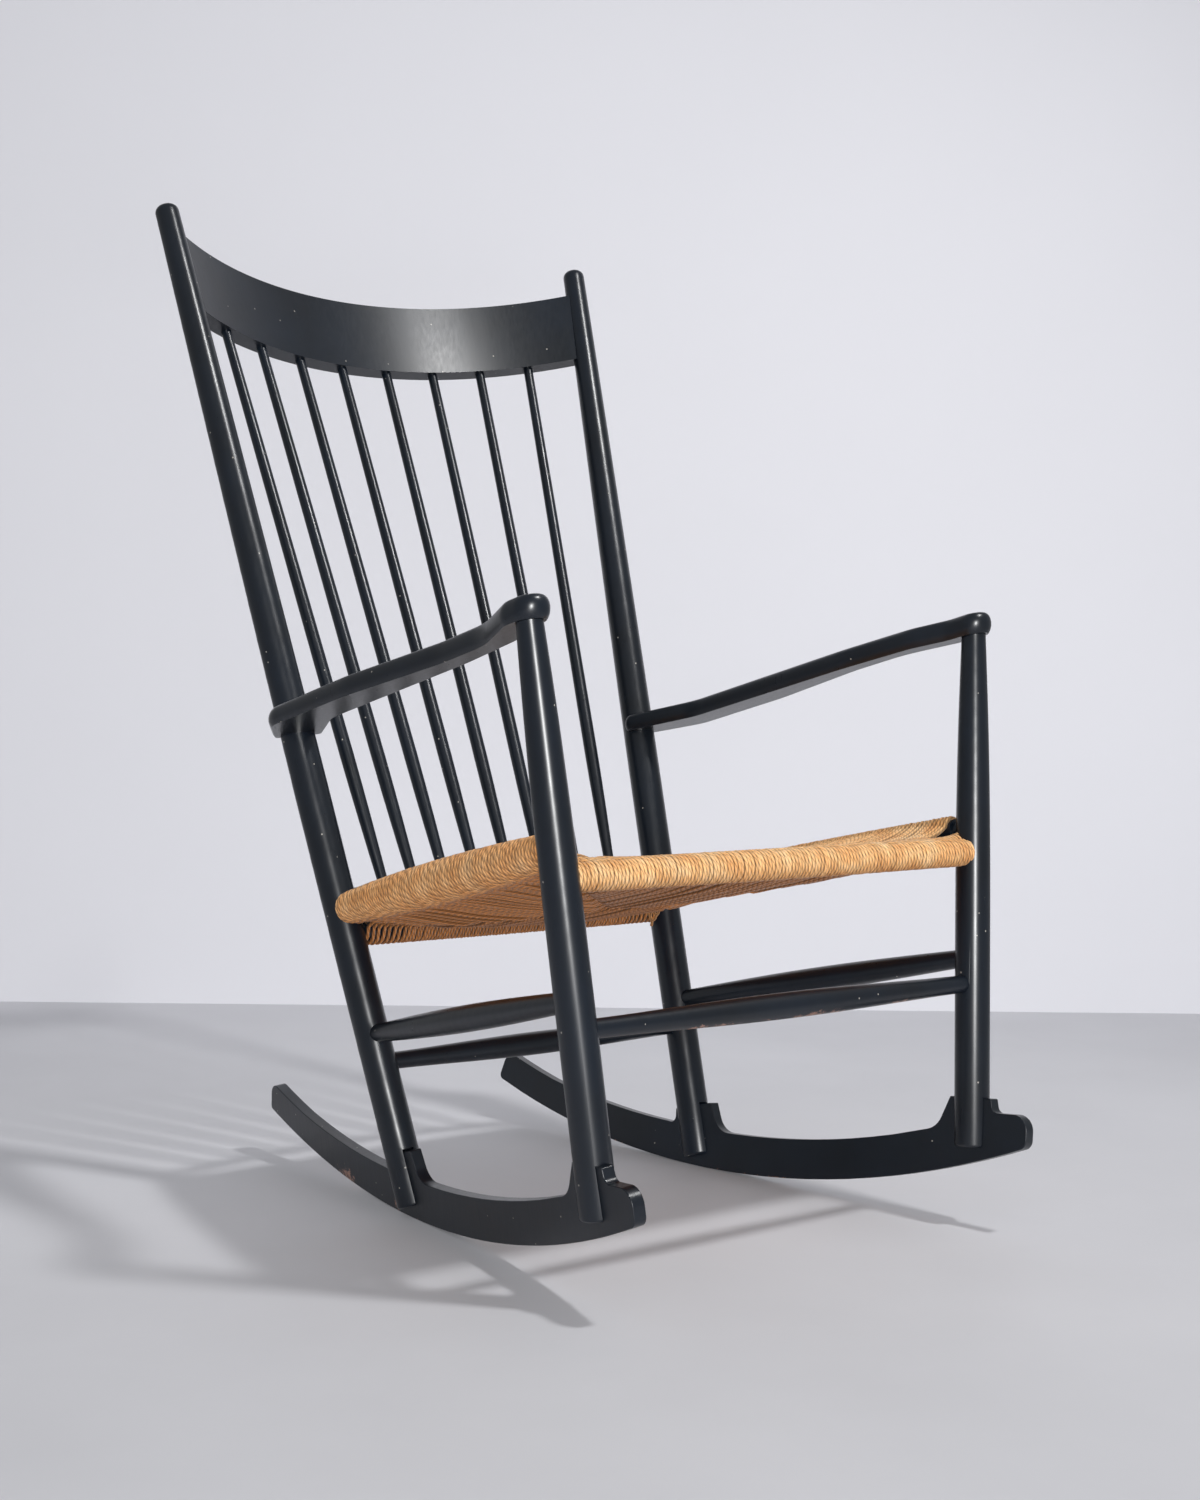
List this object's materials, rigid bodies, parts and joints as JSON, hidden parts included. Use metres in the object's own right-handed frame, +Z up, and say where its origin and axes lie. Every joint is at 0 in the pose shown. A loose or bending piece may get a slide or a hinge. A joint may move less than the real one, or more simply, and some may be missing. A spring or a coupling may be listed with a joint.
{
  "type": "rocking chair",
  "caption": "Rocking chair with a tall spindle back, turned posts and stretchers, shaped arms, bent-arc runners and a woven cord seat.",
  "frame": {"origin": "on the floor, midway across the chair and midway between the noses of the runners and the back of the crest rail", "axes": "+X towards the sitter's left, +Y towards the back, +Z up from the floor, with the empty chair at rest on its runners"},
  "size_m": [0.5972, 0.8688, 1.0512],
  "materials": {
    "lacquered_wood": "satin",
    "seat_cord": "matte"
  },
  "bodies": {
    "root": {"runner_left": "lacquered_wood", "runner_right": "lacquered_wood", "rear_post_left": "lacquered_wood", "rear_post_right": "lacquered_wood", "front_post_left": "lacquered_wood", "front_post_right": "lacquered_wood", "arm_left": "lacquered_wood", "arm_right": "lacquered_wood", "crest_rail": "lacquered_wood", "lower_back_rail": "lacquered_wood", "spindle_1": "lacquered_wood", "spindle_2": "lacquered_wood", "spindle_3": "lacquered_wood", "spindle_4": "lacquered_wood", "spindle_5": "lacquered_wood", "spindle_6": "lacquered_wood", "spindle_7": "lacquered_wood", "spindle_8": "lacquered_wood", "seat_rail_front": "lacquered_wood", "seat_rail_rear": "lacquered_wood", "seat_rail_left": "lacquered_wood", "seat_rail_right": "lacquered_wood", "stretcher_front": "lacquered_wood", "stretcher_rear": "lacquered_wood", "stretcher_left": "lacquered_wood", "stretcher_right": "lacquered_wood", "woven_seat": "seat_cord"}
  },
  "joints": []
}
